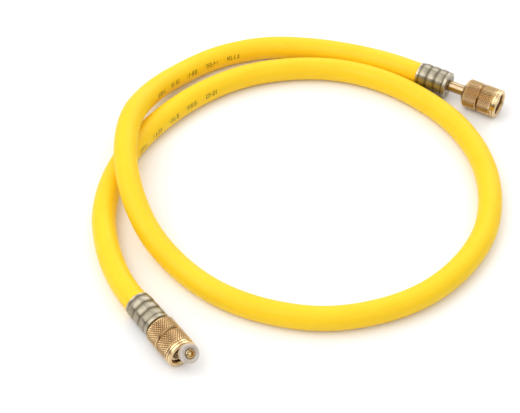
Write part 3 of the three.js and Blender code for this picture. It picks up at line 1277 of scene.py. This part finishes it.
@dataclass
class Ferrule:
    """A crimped ferrule.

    Args:
        name: The piece's name.
        node: The CAD node that it stands for.
        place: The fitting's place.
        sizes: The ferrule's sizes.
    """

    name: str
    node: str
    place: FittingPlace
    sizes: FerruleSizes = FERRULE_SIZES

    def outline(self) -> list[Station]:
        """Returns the closed outline, from the mouth's bore round the outside."""
        sizes = self.sizes
        groove = sizes.bore_radius + sizes.groove_wall
        lip = groove + sizes.flange_rise
        flange_start = sizes.length - sizes.flange_length
        stations = [
            Station(0.0, sizes.bore_radius),
            Station(0.0, groove - sizes.edge),
            Station(sizes.edge, groove),
            Station(sizes.mouth_length, groove),
        ]
        for step in range(1, sizes.rings * sizes.ring_steps + 1):
            travelled = step / sizes.ring_steps
            rise = sizes.ring_rise * abs(math.sin(math.pi * travelled)) ** sizes.ring_sharpness
            along = sizes.mouth_length + sizes.ring_length * travelled
            stations.append(Station(along, groove + rise))
        round_start = flange_start + sizes.flange_chamfer
        round_end = sizes.length - sizes.flange_chamfer
        for angle in quarter(sizes.round_steps):
            along = round_start - (sizes.flange_chamfer - sizes.flange_foot) * math.cos(angle)
            stations.append(Station(along, groove + (lip - groove) * math.sin(angle)))
        for angle in quarter(sizes.round_steps):
            along = round_end + sizes.flange_chamfer * math.sin(angle)
            stations.append(Station(along, lip - sizes.flange_chamfer * (1.0 - math.cos(angle))))
        hole = STEM_SIZES.radius + FIT_GAP
        end = sizes.length
        inner = end - sizes.end_wall
        stations += [
            Station(end, groove - 1.3),
            Station(end - sizes.end_dish, groove - 1.5),
            Station(end - sizes.end_dish, hole + sizes.bore_edge),
            Station(end - 0.4, hole),
            Station(inner, hole),
            Station(inner, sizes.bore_radius - sizes.bore_edge),
            Station(inner - sizes.bore_edge, sizes.bore_radius),
        ]
        return stations

    def _depth(self, place: Vector) -> float:
        """Says how deep between the rings a point of the outside is, which darkens the grooves as
        painted shade.

        Args:
            place: The point on the lathe, in millimetres.

        Returns:
            1 at the bottom of a groove, down to 0 on the crest of a ring.
        """
        sizes = self.sizes
        travelled = (place.z - sizes.mouth_length) / sizes.ring_length
        on_rings = -0.06 < travelled < sizes.rings + 0.06
        if on_rings and reach(place) >= sizes.bore_radius + sizes.edge:
            return 1.0 - abs(math.sin(math.pi * travelled))
        return 0.0

    def _presses(self) -> list[tuple[int, float]]:
        """Returns the lines of a jaw, counted from its edge, and how far each moves in or out."""
        middle = self.sizes.sides // self.sizes.jaws // 2
        return [(0, 1.016), (1, 1.006), (middle, 0.985), (middle - 1, 0.988), (middle - 2, 0.994)]

    def _on_line(self, place: Vector, line: int) -> bool:
        """Says whether a vertex lies on one line of any jaw.

        Args:
            place: The vertex on the lathe, in millimetres.
            line: The line, counted from the jaw's edge.

        Returns:
            True where the vertex is crimped and on that line.
        """
        sizes = self.sizes
        span = sizes.sides // sizes.jaws
        side = sector(place, sizes.sides) % span
        crimped = sizes.mouth_length < place.z < sizes.length - sizes.flange_length
        outside = reach(place) > sizes.bore_radius + 0.2
        return crimped and outside and side in (line, (span - line) % span)

    def build(self, material: Material) -> Piece:
        """Turns the ferrule and presses the crimping jaws into it.

        Args:
            material: The plated steel.

        Returns:
            The ferrule.
        """
        piece = Lathe.turn(self.name, self.outline(), self.sizes.sides)
        bpy.ops.object.mode_set(mode="EDIT")
        for line, ratio in self._presses():
            Lathe.pick(piece, lambda place, line=line: self._on_line(place, line))
            Lathe.squeeze(ratio)
        bpy.ops.mesh.select_all(action="DESELECT")
        bpy.ops.object.mode_set(mode="OBJECT")
        Lathe.fit(piece, self.place.matrix(), 40.0, self._depth)
        dress(piece, material, Body.HOSE, self.node)
        return piece


@dataclass
class SwivelNut:
    """A knurled swivel nut with its thread.

    Args:
        name: The piece's name.
        node: The CAD node that it stands for.
        place: The fitting's place.
        back: Where the nut's back face is along the fitting, in millimetres.
        body: The body that it rides on.
        sizes: The nut's sizes.
    """

    name: str
    node: str
    place: FittingPlace
    back: float
    body: Body
    sizes: NutSizes = NUT_SIZES

    def bands(self) -> tuple[Span, Span]:
        """Returns the start and end of both knurled bands."""
        sizes = self.sizes
        back = (sizes.back_chamfer, sizes.back_chamfer + sizes.back_band)
        front_start = back[1] + sizes.vee_width
        return back, (front_start, front_start + sizes.front_band)

    def _rows(self, start: float, end: float) -> int:
        """Returns how many rings, half a diamond apart, a knurled band has after its first."""
        return 2 * round((end - start) / self.sizes.knurl_pitch)

    def _band(self, start: float, end: float) -> list[Station]:
        """Lays the rings of one knurled band, half a diamond apart.

        Args:
            start: Where the band starts.
            end: Where it ends.

        Returns:
            The band's stations.
        """
        rows = self._rows(start, end)
        width = end - start
        return [Station(start + width * row / rows, self.sizes.radius) for row in range(rows + 1)]

    def outline(self) -> list[Station]:
        """Returns the closed outline, from the back hole round the outside."""
        sizes = self.sizes
        back, front = self.bands()
        radius, length = sizes.radius, sizes.length()
        low = radius - sizes.rim_groove_depth
        groove_end = front[1] + sizes.rim_groove
        chamfer = radius - sizes.back_chamfer
        middle = (back[1] + front[0]) / 2.0
        second = groove_end + sizes.second_groove
        second_end = second + sizes.second_groove_width
        return [
            Station(0.0, sizes.hole_radius + 0.25),
            Station(0.0, chamfer - 0.1),
            Station(0.08, chamfer + 0.08),
            Station(sizes.back_chamfer - 0.15, radius - 0.15),
            *self._band(*back),
            Station(back[1] + 0.06, radius - 0.06),
            Station(middle - sizes.vee_floor, radius - sizes.vee_depth),
            Station(middle + sizes.vee_floor, radius - sizes.vee_depth),
            Station(front[0] - 0.06, radius - 0.06),
            *self._band(*front),
            Station(front[1] + 0.05, low + 0.05),
            Station(front[1] + sizes.edge, low),
            Station(groove_end - sizes.edge, low),
            Station(groove_end - 0.05, low + 0.05),
            Station(groove_end, radius - 0.12),
            Station(groove_end + sizes.edge, radius - 0.02),
            Station(second - sizes.edge, radius - 0.02),
            Station(second, radius - sizes.second_groove_depth),
            Station(second_end, radius - sizes.second_groove_depth),
            Station(second_end + sizes.edge, radius - 0.08),
            Station(length - sizes.rim_chamfer, radius - sizes.edge),
            Station(length - 0.3 * sizes.rim_chamfer, radius - 0.35 * sizes.rim_chamfer),
            Station(length - 0.06, radius - sizes.rim_chamfer + 0.05),
            Station(length, radius - sizes.rim_chamfer - 0.06),
            Station(length, sizes.mouth_radius + 0.06),
            Station(length - 0.08, sizes.mouth_radius - 0.04),
            Station(length - sizes.mouth_depth + 0.4, sizes.thread_major_radius + 0.1),
            Station(length - sizes.mouth_depth, sizes.thread_major_radius),
            Station(sizes.back_wall + 1.2, sizes.thread_major_radius),
            Station(sizes.back_wall + 0.6, sizes.thread_minor_radius),
            Station(sizes.back_wall, sizes.thread_minor_radius - sizes.hole_edge),
            Station(sizes.back_wall, sizes.hole_radius + sizes.hole_edge),
            Station(sizes.back_wall - sizes.hole_edge, sizes.hole_radius),
            Station(0.25, sizes.hole_radius),
        ]

    def _in_band(self, place: Vector, depth: float, margin: float = 0.0) -> Span | None:
        """Finds the knurled band that a point of the outside lies in.

        Args:
            place: The point on the lathe, in millimetres.
            depth: How deep under the diamonds it may be.
            margin: How far it has to be from a band's ends.

        Returns:
            The band's start and end, or None.
        """
        clear = margin - self.sizes.slack
        for start, end in self.bands():
            if start + clear < place.z < end - clear and reach(place) > self.sizes.radius - depth:
                return start, end
        return None

    def _on_cell(self, place: Vector, parity: int, margin: float = 0.0) -> bool:
        """Says whether a vertex is on a top of the knurl, or on a low point of it.

        Args:
            place: The vertex on the lathe, in millimetres.
            parity: 0 for the tops of the diamonds, 1 for the low points between them.
            margin: How far it has to be from a band's ends.

        Returns:
            True where it is.
        """
        band = self._in_band(place, self.sizes.skin, margin)
        if band is None:
            return False
        start, end = band
        row = round((place.z - start) / (end - start) * self._rows(start, end))
        return (row + sector(place, self.sizes.sides)) % 2 == parity

    def _knurl(self, piece: Piece) -> None:
        """Rolls the diamond knurl into both bands.

        Args:
            piece: The turned nut, in object mode.
        """
        sizes = self.sizes
        whole = sizes.knurl_depth + 0.05
        bpy.ops.object.mode_set(mode="EDIT")
        bpy.ops.mesh.select_mode(type="VERT")
        Lathe.pick(piece, lambda place: self._on_cell(place, 1))
        Lathe.squeeze(1.0 - sizes.knurl_depth / sizes.radius)
        Lathe.pick(piece, lambda place: self._in_band(place, whole) is not None)
        bpy.ops.mesh.quads_convert_to_tris(quad_method="SHORTEST_DIAGONAL", ngon_method="BEAUTY")
        Lathe.pick(piece, lambda place: self._on_cell(place, 0, sizes.knurl_end + sizes.slack))
        bpy.ops.mesh.bevel(offset=sizes.knurl_flat * MM, affect="VERTICES")
        bpy.ops.mesh.select_all(action="DESELECT")
        bpy.ops.object.mode_set(mode="OBJECT")

    def _depth(self, place: Vector) -> float:
        """Says how deep in the knurl, in a groove or in the thread a point is, which darkens those
        hollows as tarnish and painted shade.

        Args:
            place: The point on the lathe, in millimetres.

        Returns:
            1 at the bottom, down to 0 on a diamond or outside both.
        """
        sizes = self.sizes
        out = reach(place)
        if out < sizes.thread_major_radius + sizes.thread_root + sizes.slack:
            return (out - sizes.thread_minor_radius) * 2.0 if place.z > sizes.back_wall else 0.0
        if self._in_band(place, sizes.radius) is not None:
            return (sizes.radius - out) / sizes.knurl_depth
        if sizes.back_chamfer < place.z < sizes.length() - sizes.rim_chamfer:
            return (sizes.radius - out) * 1.3
        return 0.0

    def _thread(self) -> Piece:
        """Winds the internal thread's ridge as one long helix.

        Returns:
            The ridge, on the lathe.
        """
        sizes = self.sizes
        depth = sizes.thread_major_radius - sizes.thread_minor_radius
        across = depth + sizes.thread_root
        start = sizes.back_wall + sizes.thread_start
        run = sizes.length() - sizes.mouth_depth - sizes.thread_run_out - start
        Lathe.clear()
        bpy.ops.mesh.primitive_plane_add(
            size=1.0,
            rotation=(math.pi / 2.0, 0.0, 0.0),
            location=((sizes.thread_minor_radius + across / 2.0) * MM, 0.0, start * MM),
        )
        ridge = bpy.context.object
        ridge.scale = (across * MM, sizes.thread_pitch * sizes.thread_foot * MM, 1.0)
        bpy.ops.object.transform_apply(location=True, rotation=True, scale=True)
        bpy.ops.object.mode_set(mode="EDIT")
        bpy.ops.mesh.select_mode(type="VERT")
        Lathe.pick(ridge, lambda place: place.x < sizes.thread_minor_radius + 0.1)
        bpy.ops.transform.resize(
            value=(1.0, 1.0, sizes.thread_crest), center_override=(0.0, 0.0, start * MM)
        )
        bpy.ops.mesh.select_mode(type="FACE")
        bpy.ops.mesh.select_all(action="SELECT")
        bpy.ops.mesh.delete(type="ONLY_FACE")
        bpy.ops.object.mode_set(mode="OBJECT")
        helix = ridge.modifiers.new("helix", "SCREW")
        helix.axis = "Z"
        helix.angle = math.tau
        helix.screw_offset = sizes.thread_pitch * MM
        helix.iterations = math.floor(run / sizes.thread_pitch)
        helix.steps = helix.render_steps = sizes.thread_steps
        bpy.ops.object.modifier_apply(modifier="helix")
        bpy.ops.object.mode_set(mode="EDIT")
        bpy.ops.mesh.select_mode(type="EDGE")
        bpy.ops.mesh.select_all(action="DESELECT")
        bpy.ops.mesh.select_non_manifold(
            extend=False,
            use_wire=False,
            use_boundary=True,
            use_multi_face=False,
            use_non_contiguous=False,
            use_verts=False,
        )
        bpy.ops.mesh.edge_face_add()
        bpy.ops.mesh.select_all(action="SELECT")
        bpy.ops.mesh.normals_make_consistent(inside=False)
        bpy.ops.object.mode_set(mode="OBJECT")
        return ridge

    def build(self, material: Material) -> Piece:
        """Turns, knurls and threads the nut.

        Args:
            material: The knurled brass.

        Returns:
            The nut.
        """
        piece = Lathe.turn(self.name, self.outline(), self.sizes.sides)
        self._knurl(piece)
        ridge = self._thread()
        Lathe.take(piece, ridge)
        bpy.ops.object.join()
        Lathe.fit(piece, self.place.matrix(self.back), 24.0, self._depth)
        dress(piece, material, self.body, self.node)
        return piece


@dataclass
class Stem:
    """A stem: nipple, neck, flange and spigot, straight or bent.

    Args:
        name: The piece's name.
        node: The CAD node that it stands for.
        place: The fitting's place.
        neck_end: Where the straight neck ends, in millimetres along the fitting.
        bent: True if the stem turns up before its flange.
        sizes: The stem's sizes.
    """

    name: str
    node: str
    place: FittingPlace
    neck_end: float
    bent: bool
    sizes: StemSizes = STEM_SIZES

    def _shank(self) -> list[Station]:
        """Returns the barbed nipple and the neck, up to the neck's end."""
        sizes = self.sizes
        inside = HOSE_SIZES.depth_in_ferrule
        barbs: list[Station] = []
        pitch = (inside - sizes.nipple_start - 1.0) / sizes.barbs
        for barb in range(sizes.barbs):
            start = sizes.nipple_start + pitch * barb
            barbs.append(Station(start, sizes.nipple_radius - sizes.barb_rise))
            barbs.append(Station(start + pitch - 0.1, sizes.nipple_radius))
        return [
            *barbs,
            Station(inside, sizes.nipple_radius),
            Station(inside + FIT_GAP, sizes.radius),
            Station(FERRULE_SIZES.length + 0.2, sizes.radius),
            Station(self.neck_end, sizes.radius),
        ]

    def _head(self, start: float) -> list[Station]:
        """Returns the flange, the spigot and its socket.

        Args:
            start: Where the flange starts, in millimetres.
        """
        sizes = self.sizes
        flange_end = start + sizes.flange_length
        spigot_end = flange_end + sizes.spigot_length
        socket = spigot_end - sizes.spigot_bore_depth
        return [
            Station(start - sizes.fillet, sizes.radius),
            Station(start, sizes.radius + sizes.fillet),
            Station(start, sizes.flange_radius - sizes.edge),
            Station(start + sizes.edge, sizes.flange_radius),
            Station(flange_end - sizes.edge, sizes.flange_radius),
            Station(flange_end, sizes.flange_radius - sizes.edge),
            Station(flange_end, sizes.spigot_radius),
            Station(spigot_end - sizes.edge, sizes.spigot_radius),
            Station(spigot_end, sizes.spigot_radius - sizes.edge),
            Station(spigot_end, sizes.spigot_bore_radius + sizes.edge),
            Station(spigot_end - sizes.edge, sizes.spigot_bore_radius),
            Station(socket, sizes.spigot_bore_radius),
            Station(socket, sizes.bore_radius),
        ]

    def tip_matrix(self) -> Matrix:
        """Returns the placing matrix of the flange's back face."""
        sizes = self.sizes
        if not self.bent:
            return self.place.matrix(self.neck_end)
        angle = math.radians(sizes.bend_angle)
        rise = sizes.bend_radius * (1.0 - math.cos(angle)) + sizes.tip_length * math.sin(angle)
        out = sizes.bend_radius * math.sin(angle) + sizes.tip_length * math.cos(angle)
        local = Matrix.Translation(Vector((rise, 0.0, out)) * MM) @ Matrix.Rotation(angle, 4, "Y")
        return self.place.matrix(self.neck_end) @ local

    def build(self, material: Material) -> Piece:
        """Makes the stem.

        Args:
            material: The stem's metal.

        Returns:
            The stem.
        """
        sizes = self.sizes
        if self.bent:
            piece = self._bend_up()
        else:
            start = Station(sizes.nipple_start, sizes.bore_radius)
            outline = [start, *self._shank()[:-1], *self._head(self.neck_end)]
            piece = Lathe.turn(self.name, outline, sizes.sides)
        Lathe.fit(piece, self.place.matrix())
        dress(piece, material, Body.HOSE, self.node)
        return piece

    def _bend_up(self) -> Piece:
        """Turns the shank and the head, and joins them with the bent tube.

        Returns:
            The bent stem, on the lathe.
        """
        sizes = self.sizes
        shank = [Station(sizes.nipple_start, sizes.bore_radius), *self._shank()]
        shank.append(Station(self.neck_end, sizes.bore_radius))
        straight = Lathe.turn(self.name, shank, sizes.sides)
        tip = [*self._head(0.0), Station(-sizes.fillet, sizes.bore_radius)]
        head = Lathe.turn("stem_head", tip, sizes.sides)
        head.matrix_world = self.place.matrix().inverted() @ self.tip_matrix()
        Lathe.take(head)
        bpy.ops.object.transform_apply(location=True, rotation=True, scale=True)
        elbow = self._elbow()
        Lathe.take(straight, elbow, head)
        bpy.ops.object.join()
        return straight

    def _elbow(self) -> Piece:
        """Spins the neck's ring up through the bend and runs it on to the flange.

        Returns:
            The elbow, on the lathe.
        """
        sizes = self.sizes
        Lathe.clear()
        bpy.ops.mesh.primitive_circle_add(
            vertices=sizes.sides,
            radius=sizes.radius * MM,
            location=(0.0, 0.0, (self.neck_end - sizes.overlap) * MM),
        )
        elbow = bpy.context.object
        elbow.name = "stem_elbow"
        bpy.ops.object.transform_apply(location=True, rotation=True, scale=True)
        bpy.ops.object.mode_set(mode="EDIT")
        bpy.ops.mesh.select_mode(type="VERT")
        bpy.ops.mesh.select_all(action="SELECT")
        start = (0.0, 0.0, sizes.overlap * MM)
        bpy.ops.mesh.extrude_edges_move(TRANSFORM_OT_translate={"value": start})
        bpy.ops.mesh.spin(
            steps=sizes.bend_steps,
            angle=-math.radians(sizes.bend_angle),
            center=(sizes.bend_radius * MM, 0.0, self.neck_end * MM),
            axis=(0.0, -1.0, 0.0),
        )
        angle = math.radians(sizes.bend_angle)
        run = (sizes.tip_length + 0.1) * MM
        step = (math.sin(angle) * run, 0.0, math.cos(angle) * run)
        bpy.ops.mesh.extrude_edges_move(TRANSFORM_OT_translate={"value": step})
        Lathe.close()
        return elbow


@dataclass
class Gasket:
    """The seal ring on a stem's spigot.

    Args:
        name: The piece's name.
        node: The CAD node that it stands for.
        stem: The stem that carries it.
        sizes: The seal's sizes.
    """

    name: str
    node: str
    stem: Stem
    sizes: SealSizes = SEAL_SIZES

    def build(self, material: Material) -> Piece:
        """Turns the gasket and rounds its edges.

        Args:
            material: The nylon.

        Returns:
            The gasket.
        """
        sizes = self.sizes
        start = STEM_SIZES.flange_length + FIT_GAP
        end = start + sizes.gasket_length
        outer = sizes.gasket_radius
        inner = STEM_SIZES.spigot_radius + sizes.gasket_fit
        outline = [
            Station(start, inner),
            Station(start, outer - sizes.gasket_edge),
            Station(start + sizes.gasket_edge, outer),
        ]
        for angle in quarter(sizes.gasket_round_steps):
            along = end - sizes.gasket_round * (1.0 - math.sin(angle))
            outline.append(Station(along, outer - sizes.gasket_round * (1.0 - math.cos(angle))))
        outline += [Station(end, inner + sizes.gasket_lip), Station(end - sizes.gasket_lip, inner)]
        piece = Lathe.turn(self.name, outline, sizes.gasket_sides)
        Lathe.fit(piece, self.stem.tip_matrix(), 50.0)
        dress(piece, material, Body.HOSE, self.node)
        return piece


@dataclass
class Depressor:
    """The cup with a pin and a flow hole, pressed into the bent stem's spigot.

    Args:
        stem: The stem that carries it.
        sizes: The seal's sizes.
    """

    stem: Stem
    sizes: SealSizes = SEAL_SIZES

    def build(self, material: Material) -> Piece:
        """Turns the cup and drills the flow hole.

        Args:
            material: The depressor's brass.

        Returns:
            The depressor.
        """
        sizes = self.sizes
        head = STEM_SIZES.flange_length + STEM_SIZES.spigot_length - STEM_SIZES.spigot_bore_depth
        start = head + FIT_GAP
        outer = STEM_SIZES.spigot_bore_radius - FIT_GAP
        rim = start + sizes.cup_length
        floor = start + sizes.cup_floor
        pin = start + sizes.pin_length
        outline = [
            Station(start, sizes.pole),
            Station(start, outer - sizes.cup_foot),
            Station(start + sizes.cup_foot, outer),
            Station(rim - sizes.cup_edge, outer),
            Station(rim, outer - sizes.cup_edge),
            Station(rim, outer - sizes.cup_rim),
            Station(floor, sizes.cup_floor_radius),
            Station(floor, sizes.pin_radius),
            Station(pin - sizes.pin_edge, sizes.pin_radius),
            Station(pin, sizes.pin_radius - sizes.pin_edge),
            Station(pin, sizes.pole),
        ]
        piece = Lathe.turn("core_depressor", outline, sizes.cup_sides)
        drill = self._drill(start)
        cut = piece.modifiers.new("flow_hole", "BOOLEAN")
        cut.operation = "DIFFERENCE"
        cut.solver = "EXACT"
        cut.object = drill
        Lathe.take(piece)
        bpy.ops.object.modifier_apply(modifier="flow_hole")
        bpy.data.objects.remove(drill, do_unlink=True)
        Lathe.fit(piece, self.stem.tip_matrix(), 35.0)
        dress(piece, material, Body.HOSE, "depressor")
        return piece

    def _drill(self, start: float) -> Piece:
        """Makes the drill of the flow hole.

        Args:
            start: Where the cup starts, in millimetres.

        Returns:
            The drill, on the lathe.
        """
        Lathe.clear()
        bpy.ops.mesh.primitive_cylinder_add(
            vertices=self.sizes.drill_sides,
            radius=self.sizes.flow_hole_radius * MM,
            depth=4.0 * self.sizes.cup_length * MM,
            location=(0.0, self.sizes.flow_hole_offset * MM, start * MM),
        )
        return bpy.context.object


@dataclass(frozen=True)
class Studio:
    """The camera, the floor and the lights.

    Args:
        azimuth: Where the camera stands round the part, in degrees.
        elevation: Its height over the horizon, in degrees.
        distance: Its distance from the point that it looks at, in metres.
        focal_pixels: Its focal length, in pixels of the photograph.
        frame_width: Width of the photograph, in pixels.
        target: The point that it looks at, in metres.
        lamps: The lamps: name, place in metres, side in metres and power in watts.
        room: The room's colours, each after the height where it starts.
        near_drop: How much darker the room is on the camera's side.
        room_strength: The room's strength.
    """

    azimuth: float = 30.0
    elevation: float = 47.0
    distance: float = 0.87
    focal_pixels: float = 1650.0
    frame_width: int = 520
    target: Triple = (-0.0305, -0.009, 0.0)
    lamps: tuple[tuple[str, Triple, float, float], ...] = (
        ("key_lamp", (-0.65, -0.7, 1.3), 1.7, 13.0),
        ("fill_lamp", (1.1, -0.9, 1.1), 1.3, 3.0),
        ("rear_lamp", (-0.2, 1.5, 1.0), 1.3, 7.0),
    )
    room: tuple[tuple[float, Colour], ...] = (
        (0.08, (0.07, 0.05, 0.04, 1.0)),
        (0.55, (1.0, 1.0, 1.0, 1.0)),
    )
    near_drop: float = 0.32
    room_strength: float = 0.98

    def back(self) -> Vector:
        """Returns the unit vector from the part to the camera."""
        turn, rise = math.radians(self.azimuth), math.radians(self.elevation)
        level = math.cos(rise)
        return Vector((math.sin(turn) * level, -math.cos(turn) * level, math.sin(rise)))

    def camera(self) -> None:
        """Adds the camera."""
        lens = bpy.data.cameras.new("studio_camera")
        lens.sensor_width = 36.0
        lens.lens = self.focal_pixels / self.frame_width * lens.sensor_width
        lens.clip_start = 0.01
        camera = bpy.data.objects.new("studio_camera", lens)
        camera.location = Vector(self.target) + self.back() * self.distance
        camera.rotation_mode = "QUATERNION"
        camera.rotation_quaternion = self.back().to_track_quat("Z", "Y")
        bpy.context.scene.collection.objects.link(camera)
        bpy.context.scene.camera = camera

    def floor(self) -> None:
        """Lays the pale floor."""
        Lathe.clear()
        bpy.ops.mesh.primitive_plane_add(size=6.0, location=(0.0, 0.0, 0.0))
        floor = bpy.context.object
        floor.name = "studio_floor"
        bench = Bench.start("studio_floor")
        bench.show({"Base Color": (0.93, 0.93, 0.93, 1.0), "Roughness": 0.8})
        floor.data.materials.append(bench.material)

    def lamp(self, name: str, place: Triple, size: float, power: float) -> None:
        """Hangs one soft lamp that points at the part.

        Args:
            name: The lamp's name.
            place: Where it hangs, in metres.
            size: The side of its square, in metres.
            power: Its power, in watts.
        """
        light = bpy.data.lights.new(name, "AREA")
        light.size = size
        light.energy = power
        lamp = bpy.data.objects.new(name, light)
        lamp.location = place
        lamp.rotation_mode = "QUATERNION"
        lamp.rotation_quaternion = Vector(place).to_track_quat("Z", "Y")
        bpy.context.scene.collection.objects.link(lamp)

    def surroundings(self) -> None:
        """Sets a pale room that darkens towards the horizon on the near side."""
        world = bpy.data.worlds.new("studio_room")
        world.use_nodes = True
        desk = NodeDesk(world.node_tree)
        room = next(node for node in desk.tree.nodes if node.type == "BACKGROUND")
        spot = desk.add("ShaderNodeTexCoord").outputs["Generated"]
        ramp = desk.add("ShaderNodeValToRGB")
        for end, (position, colour) in zip(ramp.color_ramp.elements, self.room):
            end.position = position
            end.color = colour
        near = desk.add("ShaderNodeVectorMath", operation="DOT_PRODUCT")
        desk.feed(near.inputs[0], spot)
        desk.feed(near.inputs[1], (*self.back().xy, 0.0))
        lowered = desk.times(near.outputs["Value"], self.near_drop)
        _, _, height = desk.split(spot)
        desk.feed(ramp.inputs[0], desk.maths("SUBTRACT", height, lowered))
        desk.feed(room.inputs["Color"], ramp.outputs[0])
        desk.feed(room.inputs["Strength"], self.room_strength)
        bpy.context.scene.world = world

    def build(self) -> None:
        """Sets the whole studio up."""
        bpy.context.scene.view_settings.view_transform = "Standard"
        self.camera()
        self.floor()
        for name, place, size, power in self.lamps:
            self.lamp(name, place, size, power)
        self.surroundings()
        LOG.info("studio: camera at %.0f degrees", self.azimuth)


@dataclass(frozen=True)
class Finishes:
    """The materials of the part, each made once."""

    rubber: Material
    plated: Material
    stem: Material
    nylon: Material
    depressor: Material
    knurled: Material

    @classmethod
    def mix(cls) -> "Finishes":
        """Makes every finish.

        Returns:
            The finishes.
        """
        effects = SharedEffects()
        # The nut's dark brown knurl valleys are partly tarnish and partly painted shade.
        knurled = WorkedMetal(
            "knurled_brass",
            base=(0.76, 0.53, 0.27, 1.0),
            tarnish_and_shade=(0.21, 0.10, 0.035, 1.0),
            bright=(0.84, 0.66, 0.38, 1.0),
            gloss=(0.22, 0.34),
            tarnish_and_shade_depths=(0.35, 1.05),
        )
        # The ferrule's dark ring grooves are painted shade.
        plated = WorkedMetal(
            "plated_steel",
            base=(0.40, 0.355, 0.265, 1.0),
            tarnish_and_shade=(0.15, 0.12, 0.075, 1.0),
            bright=(0.60, 0.55, 0.45, 1.0),
            gloss=(0.30, 0.46),
            tarnish_and_shade_depths=(0.1, 1.1),
            ring_pitch=0.4,
            ring_depth=0.12,
        )
        # The stem's red-brown dark colour is partly a painted reflection: it stands in for a dark
        # reddish reflection on the stem, besides tarnish.
        stem = WorkedMetal(
            "stem_brass",
            base=(0.49, 0.365, 0.215, 1.0),
            tarnish_and_shade=(0.24, 0.12, 0.065, 1.0),
            bright=(0.80, 0.62, 0.45, 1.0),
            gloss=(0.14, 0.26),
            ring_pitch=0.3,
            ring_depth=0.12,
        )
        # The depressor's inner corners, round the cup's floor and the flow hole, are darkened as
        # painted shade.
        depressor = WorkedMetal(
            "depressor_brass",
            base=(0.84, 0.68, 0.38, 1.0),
            tarnish_and_shade=(0.45, 0.28, 0.10, 1.0),
            bright=(0.95, 0.82, 0.52, 1.0),
            gloss=(0.18, 0.3),
        )
        return cls(
            rubber=YellowRubber().material(effects),
            plated=plated.material(effects),
            stem=stem.material(effects),
            nylon=MilkyNylon().material(effects),
            depressor=depressor.material(effects),
            knurled=knurled.material(effects),
        )


@dataclass
class EndFitting:
    """Everything on one end of the hose.

    Args:
        letter: The end's letter, as in the node names.
        place: Where the fitting sits.
        bent: True for the bent end with the depressor.
        nut_back: Where the nut's back face is, in millimetres along the fitting.
        body: The body that its nut rides on.
    """

    letter: str
    place: FittingPlace
    bent: bool
    nut_back: float
    body: Body

    def neck_end(self) -> float:
        """Returns where the stem's straight neck ends, in millimetres."""
        if self.bent:
            return self.nut_back + NUT_SIZES.length() - STEM_SIZES.bend_start_inside_nut
        return self.nut_back + NUT_SIZES.back_wall + FIT_GAP

    def build(self, finishes: Finishes) -> list[Piece]:
        """Makes the end's pieces.

        Args:
            finishes: The materials.

        Returns:
            The pieces.
        """
        letter = self.letter
        ferrule = Ferrule(f"crimped_ferrule_{letter}", f"ferrule_{letter}", self.place)
        stem = Stem(f"stem_tube_{letter}", f"stem_{letter}", self.place, self.neck_end(), self.bent)
        gasket = Gasket(f"seal_ring_{letter}", f"gasket_{letter}", stem)
        names = (f"swivel_nut_{letter}", f"nut_{letter}")
        nut = SwivelNut(*names, self.place, self.nut_back, self.body)
        made = [
            ferrule.build(finishes.plated),
            stem.build(finishes.stem),
            gasket.build(finishes.nylon),
            nut.build(finishes.knurled),
        ]
        if self.bent:
            made.append(Depressor(stem).build(finishes.depressor))
        return made


def main() -> None:
    """Builds the studio, then both ends, then the hose between them."""
    logging.basicConfig(level=logging.INFO, format="%(name)s: %(message)s")
    Studio().build()
    finishes = Finishes.mix()
    ferrule_end = FERRULE_SIZES.length
    end_a = EndFitting("a", PLACE_A, True, ferrule_end + FIT_GAP, Body.NUT_A)
    end_b = EndFitting("b", PLACE_B, False, ferrule_end + BARE_STEM_B, Body.NUT_B)
    end_a.build(finishes)
    far_pieces = end_b.build(finishes)
    Hose().build(finishes.rubber, far_pieces)


if __name__ == "__main__":
    main()
